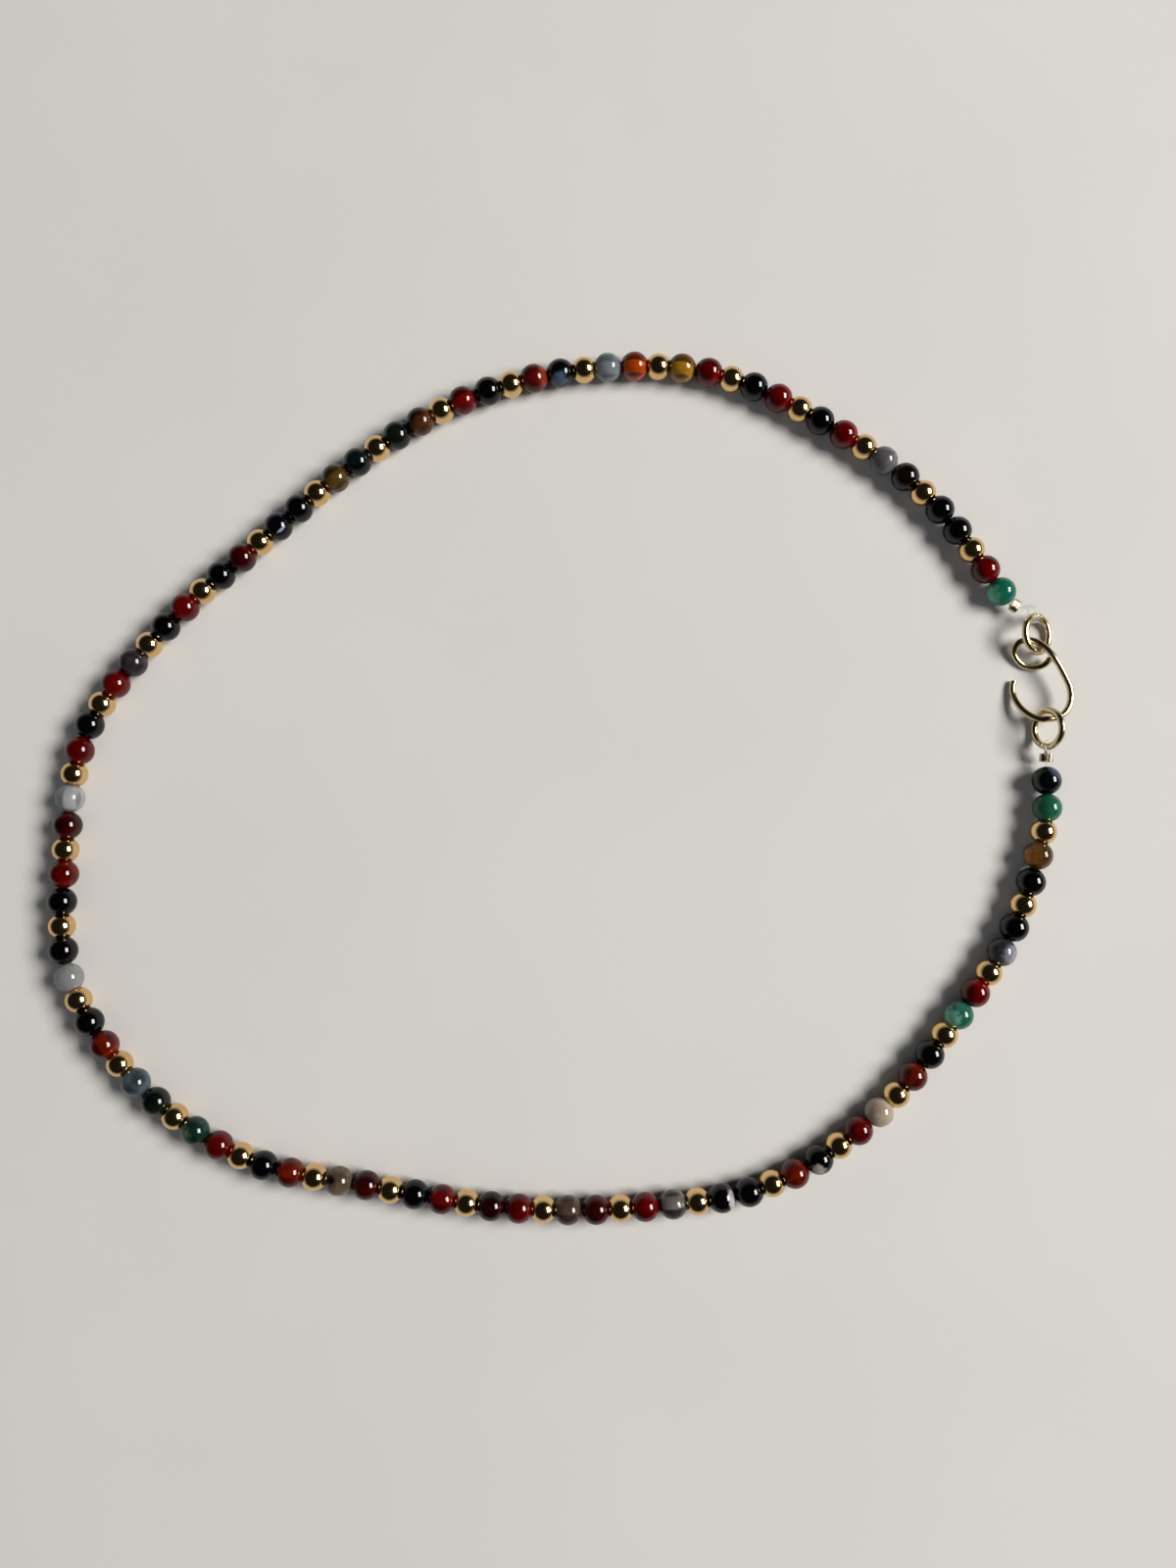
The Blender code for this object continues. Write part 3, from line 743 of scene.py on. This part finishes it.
def crimp(name, middle, out, across):
    """A short tube pressed flat, with the pliers' soft dents over and under it."""
    hole = stadium(2 * LINE_DIAMETER + 3 * LINE_PLAY, LINE_DIAMETER + 2 * LINE_PLAY)
    rings = []
    for i in range(CRIMP_STEPS + 1):
        share = 2 * i / CRIMP_STEPS - 1
        reach = share * CRIMP_LENGTH / 2
        from_end = min(CRIMP_LENGTH / 2 - abs(reach), CRIMP_EDGE)
        inset = CRIMP_EDGE - sqrt(max(CRIMP_EDGE**2 - (CRIMP_EDGE - from_end) ** 2, 0))
        dent = CRIMP_DENT * (0.5 + 0.5 * cos(3 * pi * share)) * (1 - abs(share) ** 6)
        outside = stadium(CRIMP_WIDTH - 2 * inset, CRIMP_THICKNESS - 2 * inset - 2 * dent)
        rings.append((reach, outside))
    rings += [(CRIMP_LENGTH / 2, hole), (-CRIMP_LENGTH / 2, hole)]
    points = []
    for reach, outline in rings:
        for x, z in outline:
            points.append(middle + ONTO_HOOK + out * reach + across * x + UP * z)
    faces = ring_faces(len(rings), CRIMP_CORNERS, closed=True)
    made = mesh_object(name, points, faces, CRIMP)
    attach(made, "root")
    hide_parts(name.removesuffix("_tube"))


def clasp_end(which, hold, way, reach, shown):
    """One crimp and one loop of line, from inside the last bead to the tail in the crimp."""
    ring_end, ring_out, square = hold
    out, across = heading(way), heading(way + pi / 2)
    middle = ring_end + out * reach
    middle.z = STONE_DIAMETER / 2
    near, far = middle - out * CRIMP_LENGTH / 2, middle + out * CRIMP_LENGTH / 2
    crimp(f"crimp_{which}_tube", middle, out, across)
    bead = far + out * shown
    strand = across * (LINE_DIAMETER + LINE_PLAY) / 2
    if square.dot(across) < 0:
        square = -square
    round_ring = (RING_WIRE + LINE_DIAMETER) / 2 + LINE_PLAY
    waist = ring_end + ring_out * (near - ring_end).length * LOOP_WAIST
    squeezed = square * round_ring * LOOP_SQUEEZE
    loop = [
        bead + out * LINE_INSIDE,
        bead,
        far + strand,
        middle + strand,
        near + strand,
        waist + squeezed,
        ring_end + square * round_ring,
        ring_end + (square - ring_out) * round_ring * sqrt(0.5),
        ring_end - ring_out * round_ring,
        ring_end - (square + ring_out) * round_ring * sqrt(0.5),
        ring_end - square * round_ring,
        waist - squeezed,
        near - strand,
        middle - strand,
        far - strand,
    ]
    line = smooth(loop, BEND_STEPS)
    wire_piece(f"line_{which}_wire", line, LINE_DIAMETER, CLEAR, LINE_SIDES)


clasp_end("upper", upper_hold, UPPER_LINE_HEADING, UPPER_LINE_REACH, UPPER_LINE_SHOWN)
clasp_end("lower", lower_hold, LOWER_LINE_HEADING, LOWER_LINE_REACH, LOWER_LINE_SHOWN)

# Floor, light and world

FLOOR_RADIUS = 1.7
FLOOR_CORNERS = 120
LIGHTS = [
    # name, place, size, watts, colour, whether surfaces reflect it
    ("key", (1.42, 0.24, 1.28), (1.10, 0.70), 66.0, (1.0, 0.97, 0.93), True),
    ("fill", (-0.80, -0.60, 1.20), (1.60, 1.60), 4.5, (0.92, 0.95, 1.0), False),
]
WORLD_COLOUR = (0.90, 0.92, 0.95)
WORLD_FADE = {"From Min": 0.04, "From Max": 0.36, "To Min": 0.42, "To Max": 0.012}


def floor_material():
    """Plain and pale, with a faint unevenness."""
    nodes = Nodes("floor_look")
    place = nodes.place(0.05)
    shade = nodes.span(nodes.noise(place, 1.0), 0.3, 0.7)
    colour = nodes.mix(shade, (0.510, 0.500, 0.485, 1), (0.525, 0.515, 0.500, 1))
    return nodes.finish(base_color=colour, roughness=0.85, specular_ior_level=0.2)


def round_floor():
    """A wide disc, whose far edge looks level from every side."""
    angles = [2 * pi * i / FLOOR_CORNERS for i in range(FLOOR_CORNERS)]
    points = [FLOOR_RADIUS * heading(angle) for angle in angles]
    return mesh_object("floor", points, [tuple(range(FLOOR_CORNERS))], floor_material())


def area_light(name, place, size, power, colour, reflected):
    """A soft rectangular light at this place, facing the necklace."""
    data = bpy.data.lights.new(name, "AREA")
    data.shape = "RECTANGLE"
    data.size, data.size_y = size
    data.energy = power
    data.color = colour
    made = bpy.data.objects.new(name, data)
    bpy.context.scene.collection.objects.link(made)
    made.location = place
    made.rotation_euler = (-Vector(place)).to_track_quat("-Z", "Y").to_euler()
    made.visible_glossy = reflected


def faded_world():
    """A soft grey at the horizon that fades to dark overhead."""
    world = bpy.data.worlds.new("world")
    world.use_nodes = True
    nodes, links = world.node_tree.nodes, world.node_tree.links
    direction = nodes.new("ShaderNodeTexCoord").outputs["Generated"]
    parts = nodes.new("ShaderNodeSeparateXYZ")
    fade = nodes.new("ShaderNodeMapRange")
    fade.interpolation_type = "SMOOTHSTEP"
    for socket, value in WORLD_FADE.items():
        fade.inputs[socket].default_value = value
    background = nodes["Background"].inputs
    background["Color"].default_value = (*WORLD_COLOUR, 1)
    links.new(direction, parts.inputs[0])
    links.new(parts.outputs["Z"], fade.inputs["Value"])
    links.new(fade.outputs[0], background["Strength"])
    return world


round_floor()
for light in LIGHTS:
    area_light(*light)
bpy.context.scene.world = faded_world()
bpy.context.scene.view_settings.view_transform = "Standard"
